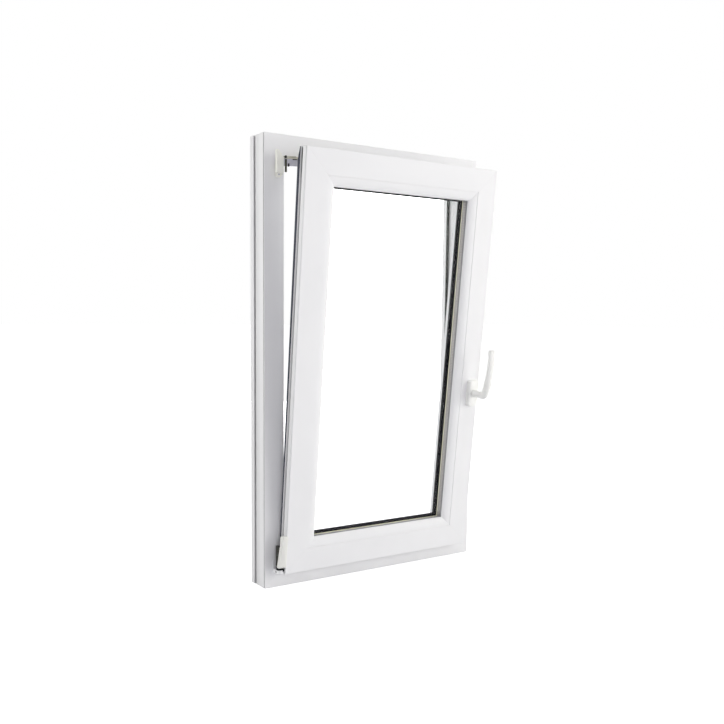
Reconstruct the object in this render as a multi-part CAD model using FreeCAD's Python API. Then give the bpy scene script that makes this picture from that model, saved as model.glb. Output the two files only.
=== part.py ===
"""Tilt and turn window: a white plastic frame, and a glazed sash that leans in at its head.

Millimetres. X runs across the window, Y from the room to the outside, Z up.
The origin is the middle of the sill's underside. The hinges are on the left, seen from the room.
"""
import FreeCAD, Part
import math
import os
from FreeCAD import Vector

# Frame
frame_width = 600.0
frame_height = 1000.0
frame_depth = 65.0
frame_face = 49.0
stop_rise = 6.0
stop_depth = 20.0
stop_slope = 5.0
outer_groove_back = 16.0
outer_groove_width = 8.0
outer_groove_depth = 10.0
frame_gasket_width = 8.0
frame_gasket_inset = 1.0

# Sash
reveal = 36.0
flange_depth = 26.0
flange_gap = 4.0
stop_gap = 4.0
hardware_gap = 8.0
sash_face = 54.0
outer_leg_rise = 20.0
outer_leg_slope = 10.0
sash_back_bevel = 4.0
gasket_gap = 0.5
sash_gasket_lift = 9.0
sash_gasket_inset = 1.0
sash_gasket_width = 6.0
tilt_angle = 5.5

# Glazing
bead_rise = 22.0
bead_step = 0.8
bead_flat = 13.0
bead_shoulder = 7.0
bead_depth = 11.0
inner_gasket_depth = 4.0
inner_gasket_rise = 5.0
outer_gasket_depth = 6.0
outer_gasket_rise = 8.0
outer_gasket_proud = 2.0
pane_thickness = 4.0
pane_gap = 16.0
pane_edge_gap = 5.0
spacer_cover = 6.0
spacer_rise = 7.0

# Hardware rails and keeps
rail_width = 16.0
rail_depth = 3.0
rail_back = 7.0
rail_end_gap = 40.0
cam_radius = 4.5
cam_height = 5.0
cam_from_end = 150.0
keep_length = 60.0
keep_thickness = 2.0
keep_front_gap = 3.0
keep_back = 24.0
keep_lip_depth = 5.0
keep_lip_rise = 4.5

# Hinge line, shared by the stay at the head and the pivot at the sill
hinge_offset = 8.0
hinge_forward = 19.0
hinge_pin_radius = 3.0
pin_clearance = 0.05

# Stay at the head
bearing_height = 59.0
bearing_top_gap = 36.0
bearing_width = 14.0
bearing_depth = 24.0
bearing_base_width = 10.0
bearing_base_depth = 8.0
bearing_base_margin = 4.0
bearing_bevel = 12.0
bearing_notch_gap = 1.0
knuckle_radius = 5.0
knuckle_height = 18.0
stay_plate_thickness = 3.0
stay_plate_gap = 1.5
stay_bar_length = 220.0
stay_bar_width = 14.0
stay_bar_thickness = 4.0
stay_bar_back = 3.0
stay_bar_rise = 2.0
stay_stud_radius = 4.0
stay_stud_gap = 0.5

# Pivot at the sill
pivot_height = 50.0
pivot_arm_height = 14.0
pivot_arm_width = 15.0
pivot_plate_width = 15.0
pivot_plate_height = 34.0
pivot_plate_drop = 20.0
pivot_plate_thickness = 3.0
pivot_pin_height = 8.0
barrel_radius = 7.0
barrel_height = 53.0
barrel_lift = 1.0
barrel_bore_radius = 4.0
barrel_bore_depth = 12.0
hinge_cap_width = 16.0
hinge_cap_height = 76.0
hinge_cap_front = 6.0
hinge_cap_proud = 3.0
hinge_cap_gap = 1.0

# Handle
handle_height = 429.0
handle_backset = 22.0
rosette_width = 30.0
rosette_height = 66.0
rosette_depth = 11.0
rosette_corner = 11.0
rosette_round = 3.0
neck_radius = 8.5
neck_clearance = 0.3
neck_reach = 36.0
lever_bow = 28.0
lever_rise = 80.0
lever_sweep = 115.0
lever_half_width = 9.0
lever_half_thickness = 5.5
tip_half_width = 7.5
tip_half_thickness = 4.6
neck_share = 0.33
lever_sections = 8

# Drain caps on the outside of the sill
drain_cap_width = 40.0
drain_cap_height = 14.0
drain_cap_depth = 4.0
drain_cap_from_side = 110.0
drain_cap_rise = 14.0

# Places that follow from the sizes
left_side = -frame_width / 2
frame_front = -frame_depth / 2
frame_back = frame_depth / 2
rebate_depth = frame_depth - stop_depth
sash_width = frame_width - 2 * reveal
sash_height = frame_height - 2 * reveal
sash_left = left_side + reveal
sash_front = frame_front - flange_gap - flange_depth
sash_depth = flange_depth + flange_gap + rebate_depth - stop_gap
sash_setback = frame_face + hardware_gap - reveal
glass_front = bead_depth + inner_gasket_depth
outer_pane_front = glass_front + pane_thickness + pane_gap
glass_back = outer_pane_front + pane_thickness
leg_front = glass_back + outer_gasket_depth
rail_front = flange_depth + rail_back
rail_middle = rail_front + rail_width / 2
hinge_x = sash_left - hinge_offset
hinge_y = frame_front - hinge_forward

os.makedirs("parts", exist_ok=True)


def save(name, shape):
    """Write one piece under its node's name."""
    shape.exportStep("parts/" + name + ".step")


def block(x, y, z):
    """A box from three (low, high) pairs."""
    size = [high - low for low, high in (x, y, z)]
    return Part.makeBox(*size, Vector(x[0], y[0], z[0]))


def upright(radius, x, y, bottom, top):
    """A vertical cylinder."""
    return Part.makeCylinder(radius, top - bottom, Vector(x, y, bottom))


def section(start, *steps):
    """A profile face from (inset, depth) points; a step of four numbers is an arc by its middle."""
    edges = []
    here = Vector(0, start[1], start[0])
    for step in steps + (start,):
        there = Vector(0, step[-1], step[-2])
        if len(step) == 4:
            edges.append(Part.Arc(here, Vector(0, step[1], step[0]), there).toShape())
        else:
            edges.append(Part.LineSegment(here, there).toShape())
        here = there
    return Part.Face(Part.Wire(edges))


def mitred_bar(profile, length):
    """Carry a profile along X and cut both ends at 45 degrees, so that bars meet in a mitre."""
    bounds = profile.BoundBox
    rise = bounds.ZMax
    corners = [(0, 0), (length, 0), (length - rise, rise), (rise, rise), (0, 0)]
    wedge = Part.Face(Part.makePolygon([Vector(x, bounds.YMin, z) for x, z in corners]))
    bar = profile.extrude(Vector(length, 0, 0))
    return bar.common(wedge.extrude(Vector(0, bounds.YLength, 0))).Solids[0]


def four_bars(profile, width, height, left, front, bottom):
    """The four mitred bars of a rectangle, by side."""
    turns = {
        "bottom": (width, 0, 0, 0),
        "right": (height, -90, width, 0),
        "top": (width, 180, width, height),
        "left": (height, 90, 0, height),
    }
    bars = {}
    for side, (length, turn, x, z) in turns.items():
        bar = mitred_bar(profile, length)
        bar.rotate(Vector(0, 0, 0), Vector(0, 1, 0), turn)
        bar.translate(Vector(left + x, front, bottom + z))
        bars[side] = bar
    return bars


def rim(width, height, left, bottom, inset, rise, front, depth):
    """A rectangular loop of square section, inset from a rectangle's edge by its outside."""
    inner = inset + rise
    y = (front, front + depth)
    outside = block((left + inset, left + width - inset), y, (bottom + inset, bottom + height - inset))
    hole = block((left + inner, left + width - inner), y, (bottom + inner, bottom + height - inner))
    return outside.cut(hole)


def tilt(shape):
    """Lean a sash piece into the room about the line through the pivot's pin."""
    shape.rotate(Vector(0, hinge_y, pivot_height), Vector(1, 0, 0), tilt_angle)
    return shape


def sash_rim(inset, rise, depth_from, depth_to):
    """A loop on the sash, in its closed place, by insets and depths from the sash's front edge."""
    front = sash_front + depth_from
    return rim(sash_width, sash_height, sash_left, reveal, inset, rise, front, depth_to - depth_from)


def make_frame():
    """Jambs, head and sill: a rebate open to the room, a stop outside, a groove round the edge."""
    groove_back = frame_depth - outer_groove_back
    groove_front = groove_back - outer_groove_width
    stop_edge = frame_face + stop_rise
    profile = section(
        (0, 0), (frame_face, 0), (frame_face, rebate_depth), (stop_edge, rebate_depth),
        (stop_edge - stop_slope, frame_depth), (0, frame_depth), (0, groove_back),
        (outer_groove_depth, groove_back), (outer_groove_depth, groove_front), (0, groove_front))
    bars = four_bars(profile, frame_width, frame_height, left_side, frame_front, 0)
    save("frame_sill", bars["bottom"])
    save("frame_head", bars["top"])
    save("frame_left_jamb", bars["left"])
    save("frame_right_jamb", bars["right"])
    depth = stop_gap - gasket_gap
    front = frame_front + rebate_depth - depth
    inset = frame_face + frame_gasket_inset
    gasket = rim(frame_width, frame_height, left_side, 0, inset, frame_gasket_width, front, depth)
    save("frame_gasket", gasket)


def make_drain_caps():
    """Covers over the drain slots on the outside of the sill."""
    for side, name in ((-1, "drain_cap_left"), (1, "drain_cap_right")):
        middle = side * (frame_width / 2 - drain_cap_from_side)
        x = (middle - drain_cap_width / 2, middle + drain_cap_width / 2)
        y = (frame_back, frame_back + drain_cap_depth)
        save(name, block(x, y, (drain_cap_rise, drain_cap_rise + drain_cap_height)))


def make_sash():
    """Stiles and rails: a flange over the frame, a hardware groove, and a leg outside the glass."""
    leg_edge = sash_face + outer_leg_rise
    groove_back = rail_front + rail_width
    groove_floor = sash_setback + rail_depth
    profile = section(
        (0, 0), (sash_face, 0), (sash_face, leg_front), (leg_edge, leg_front),
        (leg_edge - outer_leg_slope, sash_depth), (sash_setback + sash_back_bevel, sash_depth),
        (sash_setback, sash_depth - sash_back_bevel), (sash_setback, groove_back),
        (groove_floor, groove_back), (groove_floor, rail_front), (sash_setback, rail_front),
        (sash_setback, flange_depth), (0, flange_depth))
    bars = four_bars(profile, sash_width, sash_height, sash_left, sash_front, reveal)
    save("sash_bottom_rail", tilt(bars["bottom"]))
    save("sash_top_rail", tilt(bars["top"]))
    save("sash_left_stile", tilt(bars["left"]))
    save("sash_right_stile", tilt(bars["right"]))
    lip = flange_depth + sash_gasket_lift
    gasket = tilt(sash_rim(sash_gasket_inset, sash_gasket_width, flange_depth, lip))
    pressed = block((left_side, -left_side), (frame_front, frame_back), (0, frame_height))
    save("sash_gasket", gasket.cut(pressed))


def make_beads():
    """Snap-in beads with a rounded shoulder, on the room side of the glass."""
    top = sash_face + bead_rise
    flat_end = sash_face + bead_flat
    shoulder_end = bead_step + bead_shoulder
    turn = math.radians(45)
    middle_inset = flat_end + (top - flat_end) * math.sin(turn)
    middle_depth = shoulder_end - bead_shoulder * math.cos(turn)
    profile = section(
        (sash_face, bead_step), (flat_end, bead_step), (middle_inset, middle_depth, top, shoulder_end),
        (top, bead_depth), (sash_face, bead_depth))
    bars = four_bars(profile, sash_width, sash_height, sash_left, sash_front, reveal)
    for side in bars:
        save("bead_" + side, tilt(bars[side]))


def make_glass():
    """Two panes about a spacer, held between a grey inner gasket and a black outer one."""
    bead_top = sash_face + bead_rise
    pane_inset = sash_face + pane_edge_gap
    outer_gasket_top = sash_face + outer_leg_rise + outer_gasket_proud
    inner_gasket = sash_rim(bead_top - inner_gasket_rise, inner_gasket_rise, bead_depth, glass_front)
    save("bead_gasket", tilt(inner_gasket))
    outer_gasket = sash_rim(outer_gasket_top - outer_gasket_rise, outer_gasket_rise, glass_back, leg_front)
    save("outer_glazing_gasket", tilt(outer_gasket))
    spacer_front = glass_front + pane_thickness
    spacer = sash_rim(pane_inset + spacer_cover, spacer_rise, spacer_front, outer_pane_front)
    save("spacer_bar", tilt(spacer))
    x = (sash_left + pane_inset, sash_left + sash_width - pane_inset)
    z = (reveal + pane_inset, reveal + sash_height - pane_inset)
    for name, depth in (("inner_pane", glass_front), ("outer_pane", outer_pane_front)):
        y = (sash_front + depth, sash_front + depth + pane_thickness)
        save(name, tilt(block(x, y, z)))


def make_rails():
    """Steel rails in the sash's groove, with locking cams on the handle side and the head."""
    y = (sash_front + rail_front, sash_front + rail_front + rail_width)
    middle_y = sash_front + rail_middle
    left = sash_left + sash_setback
    right = sash_left + sash_width - sash_setback
    bottom = reveal + sash_setback
    top = reveal + sash_height - sash_setback
    upright_span = (bottom + rail_end_gap, top - rail_end_gap)
    across_span = (left + rail_end_gap, right - rail_end_gap)
    lock_rail = block((right - rail_depth, right), y, upright_span)
    for height in keep_heights():
        cam = Part.makeCylinder(cam_radius, cam_height, Vector(right, middle_y, height), Vector(1, 0, 0))
        lock_rail = lock_rail.fuse(cam)
    save("lock_rail", tilt(lock_rail))
    save("hinge_rail", tilt(block((left, left + rail_depth), y, upright_span)))
    save("top_rail_gear", tilt(block(across_span, y, (top - rail_depth, top))))


def keep_heights():
    """Heights of the locking points on the handle side, measured with the sash closed."""
    bottom = reveal + sash_setback
    top = reveal + sash_height - sash_setback
    return [bottom + cam_from_end, top - cam_from_end]


def make_keeps():
    """Striker plates in the right jamb's rebate, each with a lip that a locking cam runs behind."""
    seat = frame_width / 2 - frame_face
    front = frame_front + keep_front_gap
    for name, height in zip(("lower_keep", "upper_keep"), keep_heights()):
        z = (height - keep_length / 2, height + keep_length / 2)
        plate = block((seat - keep_thickness, seat), (front, front + keep_back), z)
        lip = block((seat - keep_thickness - keep_lip_rise, seat - keep_thickness),
                    (front, front + keep_lip_depth), z)
        save(name, plate.fuse(lip).removeSplitter())


def stay_swing():
    """The angle of the stay: its far stud stays over the middle of the leaning sash's groove."""
    closed_y = frame_front + stay_bar_back + stay_bar_width / 2
    groove_top = reveal + sash_height - sash_setback
    lean = math.radians(tilt_angle)
    middle_y = sash_front + rail_middle - hinge_y
    target = middle_y * math.cos(lean) - (groove_top - pivot_height) * math.sin(lean)
    arm = math.hypot(stay_bar_length, closed_y - hinge_y)
    rest = math.asin((closed_y - hinge_y) / arm)
    return math.degrees(rest - math.asin(target / arm))


def make_stay():
    """Bearing and cap on the left jamb, and the arm that holds the sash's head open."""
    cap_top = frame_height - bearing_top_gap
    cap_bottom = cap_top - bearing_height
    cap_right = sash_left - bearing_notch_gap
    cap_front = frame_front - bearing_depth
    base_front = frame_front - bearing_base_depth
    bar_bottom = reveal + sash_height - sash_setback + stay_bar_rise
    bar_top = bar_bottom + stay_bar_thickness
    knuckle_bottom = bar_top - knuckle_height

    core = (cap_bottom + bearing_base_margin, cap_top - bearing_base_margin)
    window = block((hinge_x - knuckle_radius - bearing_notch_gap, cap_right),
                   (hinge_y - knuckle_radius - bearing_notch_gap, frame_front),
                   (knuckle_bottom - bearing_notch_gap, bar_top + bearing_notch_gap))
    base = block((cap_right - bearing_base_width, cap_right), (base_front, frame_front), core)
    lugs = block((hinge_x, cap_right), (hinge_y, base_front), core)
    pin = upright(hinge_pin_radius, hinge_x, hinge_y, *core)
    save("stay_bearing", base.fuse(lugs).cut(window).fuse(pin).removeSplitter())

    cap = block((cap_right - bearing_width, cap_right), (cap_front, base_front), (cap_bottom, cap_top))
    bevel = Part.Face(Part.makePolygon([
        Vector(cap_right, cap_front, cap_top), Vector(cap_right - bearing_bevel, cap_front, cap_top),
        Vector(cap_right, cap_front, cap_top - bearing_bevel), Vector(cap_right, cap_front, cap_top)]))
    pin_room = hinge_pin_radius + bearing_notch_gap
    hollow = block((hinge_x - pin_room, cap_right), (hinge_y - pin_room, base_front), core)
    save("stay_bearing_cap", cap.cut(bevel.extrude(Vector(0, bearing_depth, 0))).cut(hollow).cut(window))

    plate_back = frame_front - stay_plate_gap
    plate_front = plate_back - stay_plate_thickness
    bar_front = frame_front + stay_bar_back
    bar_start = left_side + frame_face + stay_bar_rise
    plate_end = bar_start + stay_bar_width
    bar_end = hinge_x + stay_bar_length
    knuckle = upright(knuckle_radius, hinge_x, hinge_y, knuckle_bottom, bar_top)
    crank_left = hinge_x - stay_plate_thickness / 2
    crank_right = hinge_x + stay_plate_thickness / 2
    plate_y = (plate_front, plate_back)
    crank = block((crank_left, crank_right), (hinge_y, plate_back), (knuckle_bottom, bar_top))
    plate = block((crank_left, plate_end), plate_y, (bar_bottom, bar_top))
    web = block((crank_left, left_side + frame_face), plate_y, (knuckle_bottom, bar_top))
    bar = block((bar_start, bar_end + stay_stud_radius), (bar_front, bar_front + stay_bar_width),
                (bar_bottom, bar_top))
    neck = block((bar_start, plate_end), (plate_front, bar_front), (bar_bottom, bar_top))
    bore = upright(hinge_pin_radius + pin_clearance, hinge_x, hinge_y, knuckle_bottom, bar_top)
    swing = stay_swing()
    arm = knuckle.fuse(crank).fuse(web).fuse(plate).fuse(neck).fuse(bar)
    stud_y = bar_front + stay_bar_width / 2
    stud = upright(stay_stud_radius, bar_end, stud_y, stud_bottom(), bar_bottom)
    arm = arm.fuse(stud).cut(bore).removeSplitter()
    arm.rotate(Vector(hinge_x, hinge_y, 0), Vector(0, 0, 1), -swing)
    save("stay_arm", arm)


def stud_bottom():
    """Height just over the leaning top rail's gear, at the stud's highest side."""
    lean = math.radians(tilt_angle)
    groove_top = reveal + sash_height - sash_setback
    middle_y = sash_front + rail_middle - hinge_y
    height = pivot_height + (groove_top - pivot_height) * math.cos(lean) + middle_y * math.sin(lean)
    return height + stay_stud_radius * math.tan(lean) + stay_stud_gap


def make_pivot():
    """The pivot on the left jamb's foot, and the sash's corner hinge standing on its pin."""
    plate_right = sash_left - bearing_notch_gap
    plate = block((plate_right - pivot_plate_width, plate_right),
                  (frame_front - pivot_plate_thickness, frame_front),
                  (pivot_height - pivot_plate_drop, pivot_height - pivot_plate_drop + pivot_plate_height))
    arm = block((hinge_x - pivot_arm_width / 2, hinge_x + pivot_arm_width / 2),
                (hinge_y, frame_front), (pivot_height - pivot_arm_height, pivot_height))
    nose = upright(pivot_arm_width / 2, hinge_x, hinge_y, pivot_height - pivot_arm_height, pivot_height)
    pin = upright(hinge_pin_radius, hinge_x, hinge_y, pivot_height, pivot_height + pivot_pin_height)
    save("pivot_rest", plate.fuse(arm).fuse(nose).fuse(pin).removeSplitter())

    bottom = pivot_height + barrel_lift
    top = bottom + barrel_height
    barrel = upright(barrel_radius, hinge_x, hinge_y, bottom, top)
    web_y = (hinge_y - hinge_pin_radius, hinge_y + hinge_pin_radius)
    web = block((hinge_x, sash_left), web_y, (bottom, top))
    bore = upright(barrel_bore_radius, hinge_x, hinge_y, bottom, bottom + barrel_bore_depth)
    save("corner_hinge", tilt(barrel.fuse(web).cut(bore).removeSplitter()))

    cap_x = (sash_left - hinge_cap_width, sash_left)
    cap_back = hinge_y - barrel_radius - hinge_cap_gap
    cap_front = min(sash_front - hinge_cap_proud, cap_back - hinge_cap_front)
    face = block(cap_x, (cap_front, cap_back), (bottom, bottom + hinge_cap_height))
    crown = block((hinge_x - barrel_radius, sash_left), (cap_back, hinge_y + barrel_radius),
                  (top, bottom + hinge_cap_height))
    save("corner_hinge_cap", tilt(face.fuse(crown).removeSplitter()))


def lever_wire(turn):
    """One oval section of the lever: on an elliptic arc that leaves the neck square and bows inward."""
    share = turn / lever_sweep
    angle = math.radians(turn)
    reach = neck_reach + lever_bow * math.sin(angle)
    rise = lever_rise * (1 - math.cos(angle))
    slope = math.degrees(math.atan2(lever_rise * math.sin(angle), lever_bow * math.cos(angle)))
    settle = min(1.0, share / neck_share)
    taper = max(0.0, (share - neck_share) / (1 - neck_share))
    half_width = neck_radius + (lever_half_width - neck_radius) * settle
    half_thickness = neck_radius + (lever_half_thickness - neck_radius) * settle
    half_width += (tip_half_width - lever_half_width) * taper
    half_thickness += (tip_half_thickness - lever_half_thickness) * taper
    ellipse = Part.Ellipse(Vector(half_width, 0, 0), Vector(0, half_thickness, 0), Vector(0, 0, 0))
    oval = Part.Wire(ellipse.toShape())
    oval.rotate(Vector(0, 0, 0), Vector(1, 0, 0), 90)
    oval.rotate(Vector(0, 0, 0), Vector(1, 0, 0), -slope)
    oval.translate(Vector(0, -reach, rise))
    return oval


def make_handle():
    """A rosette on the right stile, and a lever that turns in it, pointing up for the tilted sash."""
    x = sash_left + sash_width - handle_backset
    rosette_y = (sash_front - rosette_depth, sash_front)
    rosette = block((x - rosette_width / 2, x + rosette_width / 2), rosette_y,
                    (handle_height - rosette_height / 2, handle_height + rosette_height / 2))
    deep_edges = [e for e in rosette.Edges if e.BoundBox.YLength > rosette_depth / 2]
    rosette = rosette.makeFillet(rosette_corner, deep_edges)
    front_edges = [e for e in rosette.Edges if e.BoundBox.YMax < sash_front - rosette_depth / 2]
    rosette = rosette.makeFillet(rosette_round, front_edges)
    outward = Vector(0, -1, 0)
    spindle = Vector(x, sash_front, handle_height)
    bore = Part.makeCylinder(neck_radius + neck_clearance, rosette_depth, spindle, outward)
    save("handle_rosette", tilt(rosette.cut(bore)))

    neck_start = Vector(0, -neck_clearance, 0)
    neck = Part.makeCylinder(neck_radius, neck_reach - neck_clearance, neck_start, outward)
    turns = [lever_sweep * i / (lever_sections - 1) for i in range(lever_sections)]
    grip = Part.makeLoft([lever_wire(turn) for turn in turns], True)
    lever = neck.fuse(grip)
    lever.translate(spindle)
    save("handle_lever", tilt(lever))


make_frame()
make_drain_caps()
make_sash()
make_beads()
make_glass()
make_rails()
make_keeps()
make_stay()
make_pivot()
make_handle()
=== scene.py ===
"""Looks of a white plastic tilt and turn window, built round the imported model.

Shapes are worked out in millimetres, and a piece's mesh is in metres. X runs across the window,
Y from the room to the outside, Z up. A profile is drawn as (inset, depth) points: inset runs from
the outer edge of a rectangle towards its middle, depth from its room side towards the outside.
"""

import math
from collections import namedtuple

import bpy
import numpy as np
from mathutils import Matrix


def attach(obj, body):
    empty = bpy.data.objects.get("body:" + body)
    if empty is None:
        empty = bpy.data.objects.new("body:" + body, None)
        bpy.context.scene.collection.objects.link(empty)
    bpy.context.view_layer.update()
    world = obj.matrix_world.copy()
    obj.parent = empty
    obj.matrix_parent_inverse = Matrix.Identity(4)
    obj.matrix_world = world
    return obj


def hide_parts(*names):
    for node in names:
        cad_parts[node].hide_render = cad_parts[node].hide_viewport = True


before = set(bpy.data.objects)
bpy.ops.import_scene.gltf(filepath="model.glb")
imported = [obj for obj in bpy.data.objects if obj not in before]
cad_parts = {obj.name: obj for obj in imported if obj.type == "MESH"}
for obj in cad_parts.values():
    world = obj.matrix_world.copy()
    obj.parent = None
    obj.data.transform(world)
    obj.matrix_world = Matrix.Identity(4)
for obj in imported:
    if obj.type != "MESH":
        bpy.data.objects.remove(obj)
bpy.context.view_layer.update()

MM = 0.001
# A grid's last field gives, point by point, how much painted shade its surface takes.
Grid = namedtuple("Grid", "points closed grime", defaults=(None,))
Rectangle = namedtuple("Rectangle", "width height left front bottom")

# Frame and sash
frame_face = 49.0
frame_depth = 65.0
rebate_depth = 45.0
stop_edge = 55.0
reveal = 36.0
flange_depth = 26.0
flange_gap = 4.0
sash_face = 54.0
sash_setback = 21.0
sash_depth = 71.0
leg_front = 45.0
leg_edge = 74.0
frame_room = Rectangle(600.0, 1000.0, -300.0, -frame_depth / 2, 0.0)
sash_room = Rectangle(
    frame_room.width - 2 * reveal, frame_room.height - 2 * reveal, frame_room.left + reveal,
    frame_room.front - flange_gap - flange_depth, reveal)
sash_right = sash_room.left + sash_room.width
sash_top = sash_room.bottom + sash_room.height

# Places along a bar, from its mitre, and the share of the weld's groove that is left at each
from_mitre = np.array([0.0, 0.4, 0.9, 1.4, 2.2, 30.0, 75.0])
weld_groove = np.array([1.0, 0.85, 0.3, 0.0, 0.0, 0.0, 0.0])
# Painted shade is deepest up to the first distance from a mitre, and at its plain level from the second.
deepest_shade_to, even_shade_from = 20.0, 75.0

# Lean of the sash, about the line through the pivot's pin
lean_angle = math.radians(5.5)
hinge_x = sash_room.left - 8.0
hinge_y = frame_room.front - 19.0
pivot_height = 50.0

# Glazing
bead_top = 76.0
bead_depth = 11.0
glass_front = 15.0
outer_pane_front = 35.0
pane_thickness = 4.0
pane_inset = 59.0

# Gear in the sash's groove
rail_front = 33.0
rail_width = 16.0
rail_depth = 3.0
rail_end_gap = 40.0
cam_from_end = 150.0

# Stay at the head: the length of its arm, and how far behind the frame's room side its bar lies
stay_length = 220.0
stay_depth = 10.0

# Handle
handle_x = sash_right - 22.0
handle_height = 429.0
neck_radius = 8.5
neck_reach = 42.0
elbow_radius = 9.5
grip_length = 108.5

# Which of (first, second, lift) lies along X, Y, Z, for a slab that lies flat, faces the room or faces a side
lying = (0, 1, 2)
facing_room = (0, 2, 1)
facing_side = (2, 0, 1)

# Edges sharper than this stay crisp, and most of a noise lies in this span
crisp_edge = math.radians(35)
noise_middle = (0.3, 0.7)


def lean(points):
    """Turn sash points about the line through the pivot: the head comes into the room."""
    y = points[..., 1] - hinge_y
    z = points[..., 2] - pivot_height
    turned_y = hinge_y + y * math.cos(lean_angle) - z * math.sin(lean_angle)
    turned_z = pivot_height + z * math.cos(lean_angle) + y * math.sin(lean_angle)
    return np.stack([points[..., 0], turned_y, turned_z], axis=-1)


def lean_grid(grid):
    """A grid with all its points leaned."""
    return Grid(lean(grid.points), grid.closed, grid.grime)


def soften(corners, radii, steps=6, margin=0.1):
    """Round the corners of a closed outline.

    Each corner becomes an arc that touches both its sides: its centre lies on the corner's bisector,
    at radius over the sine of half the corner's angle. One more point lies a margin along each side,
    so that the flats stay flat under smooth shading.
    """
    corners = np.asarray(corners, float)
    radii = np.asarray(radii, float)[:, None]
    back = np.roll(corners, 1, axis=0) - corners
    ahead = np.roll(corners, -1, axis=0) - corners
    back /= np.linalg.norm(back, axis=1, keepdims=True)
    ahead /= np.linalg.norm(ahead, axis=1, keepdims=True)
    half = 0.5 * np.arccos(np.clip(np.sum(back * ahead, axis=1, keepdims=True), -1, 1))
    reach = radii / np.tan(half)
    middle = back + ahead
    middle /= np.linalg.norm(middle, axis=1, keepdims=True)
    centre = corners + middle * radii / np.sin(half)
    start = (corners + back * reach - centre)[:, None]
    end = (corners + ahead * reach - centre)[:, None]
    turn = (np.pi - 2 * half)[:, None]
    share = np.linspace(0, 1, steps)[None, :, None]
    arc = centre[:, None] + (np.sin((1 - share) * turn) * start + np.sin(share * turn) * end) / np.sin(turn)
    first = (corners + back * (reach + margin))[:, None]
    last = (corners + ahead * (reach + margin))[:, None]
    return np.concatenate([first, arc, last], axis=1).reshape(-1, 2)


def evenly(outline, count):
    """A closed outline again, as points at equal distances along it."""
    ring = np.concatenate([outline, outline[:1]])
    along = np.concatenate([[0], np.cumsum(np.linalg.norm(np.diff(ring, axis=0), axis=1))])
    places = np.linspace(0, along[-1], count, endpoint=False)
    return np.stack([np.interp(places, along, ring[:, 0]), np.interp(places, along, ring[:, 1])], axis=1)


def inward(outline):
    """Unit normals that point into a closed outline, square to the chord between a point's neighbours."""
    chord = np.roll(outline, -1, axis=0) - np.roll(outline, 1, axis=0)
    chord /= np.linalg.norm(chord, axis=1, keepdims=True)
    x, y = outline.T
    area = np.sum(x * np.roll(y, -1) - y * np.roll(x, -1))
    return np.sign(area) * np.stack([-chord[:, 1], chord[:, 0]], axis=1)


def mitred_bar(outline, length, seam):
    """Carry an outline along a bar whose ends are cut at 45 degrees.

    A point at inset u runs from u to length less u. Over the last millimetre and a half the outline
    shrinks by up to seam, which leaves the fine groove of a scraped weld where two bars meet.
    """
    sink = seam * weld_groove
    steps = np.concatenate([from_mitre, from_mitre[::-1]])[:, None]
    shrunk = outline + np.concatenate([sink, sink[::-1]])[:, None, None] * inward(outline)
    far = np.arange(len(steps))[:, None] >= len(from_mitre)
    along = np.where(far, length - shrunk[..., 0] - steps, shrunk[..., 0] + steps)
    return np.concatenate([along[..., None], shrunk], axis=-1)


def on_side(side, along, inset, depth, room):
    """Points of one side of a rectangle, from the length along it, the inset and the depth."""
    x, z = {
        "bottom": (along, inset),
        "right": (room.width - inset, along),
        "top": (room.width - along, room.height - inset),
        "left": (inset, room.height - along),
    }[side]
    return np.stack([room.left + x, room.front + depth, room.bottom + z], axis=-1)


def bar_on(side, outline, room, seam=0.3, grime=None, at_ends=1.0):
    """One mitred bar of a rectangle: its length runs along the side, its inset towards the middle.

    grime, the painted shade in the grooves, is given round the outline, and rises by the factor at_ends
    towards the bar's two ends.
    """
    upright = side in ("left", "right")
    bar = mitred_bar(outline, room.height if upright else room.width, seam)
    points = on_side(side, *np.moveaxis(bar, -1, 0), room)
    if grime is None:
        return Grid(points, False)
    more = np.interp(from_mitre, [deepest_shade_to, even_shade_from], [at_ends, 1.0])
    return Grid(points, False, np.concatenate([more, more[::-1]])[:, None] * grime)


def loop_on(outline, room):
    """Carry an outline round a rectangle, with a mitre at each corner."""
    inset, depth = outline.T
    x = np.stack([inset, room.width - inset, room.width - inset, inset])
    z = np.stack([inset, inset, room.height - inset, room.height - inset])
    y = np.broadcast_to(depth, x.shape)
    return Grid(np.stack([room.left + x, room.front + y, room.bottom + z], axis=-1), True)


def bent_loop(outline, room, foot, low, reach):
    """Carry a seal round a rectangle. Its height over its foot falls to the share low at each corner.

    Each side has three rows: one at its first corner, and one at the given reach from each of its corners.
    """
    inset, depth = outline.T
    height = np.array([low, 1.0, 1.0])[:, None] * (depth - foot)
    rows = []
    for side in ("bottom", "right", "top", "left"):
        length = room.height if side in ("left", "right") else room.width
        along = np.stack([inset, inset + reach, length - inset - reach])
        rows.append(on_side(side, along, inset + 0 * along, foot + height, room))
    return Grid(np.concatenate(rows), True)


def plate(outline, layers, axes):
    """A closed slab from one outline: each layer draws the outline in and lifts it, and the ends are shut.

    axes gives, for X, Y and Z, which of (first, second, lift) lies along it.
    """
    insets, lifts = np.asarray(layers, float).T
    flat = outline + insets[:, None, None] * inward(outline)
    lift = np.broadcast_to(lifts[:, None, None], flat.shape[:2] + (1,))
    return Grid(np.concatenate([flat, lift], axis=-1)[..., list(axes)], False)


def rounded(first, second, radii, steps=6):
    """A rectangle with rounded corners, from its two spans. One radius does for all four corners."""
    (a, b), (c, d) = first, second
    return soften([(a, c), (b, c), (b, d), (a, d)], np.broadcast_to(radii, 4), steps)


def eased(low, high, ease):
    """Layers of a slab from low to high, with the edges eased at both ends."""
    return [(ease, low), (0, low + ease), (0, high - ease), (ease, high)]


def slab(x, y, z, radius=0.6, ease=0.4):
    """A level slab: a rectangle in plan with rounded corners, and eased edges above and below."""
    return plate(rounded(x, y, radius), eased(*z, ease), lying)


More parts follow.
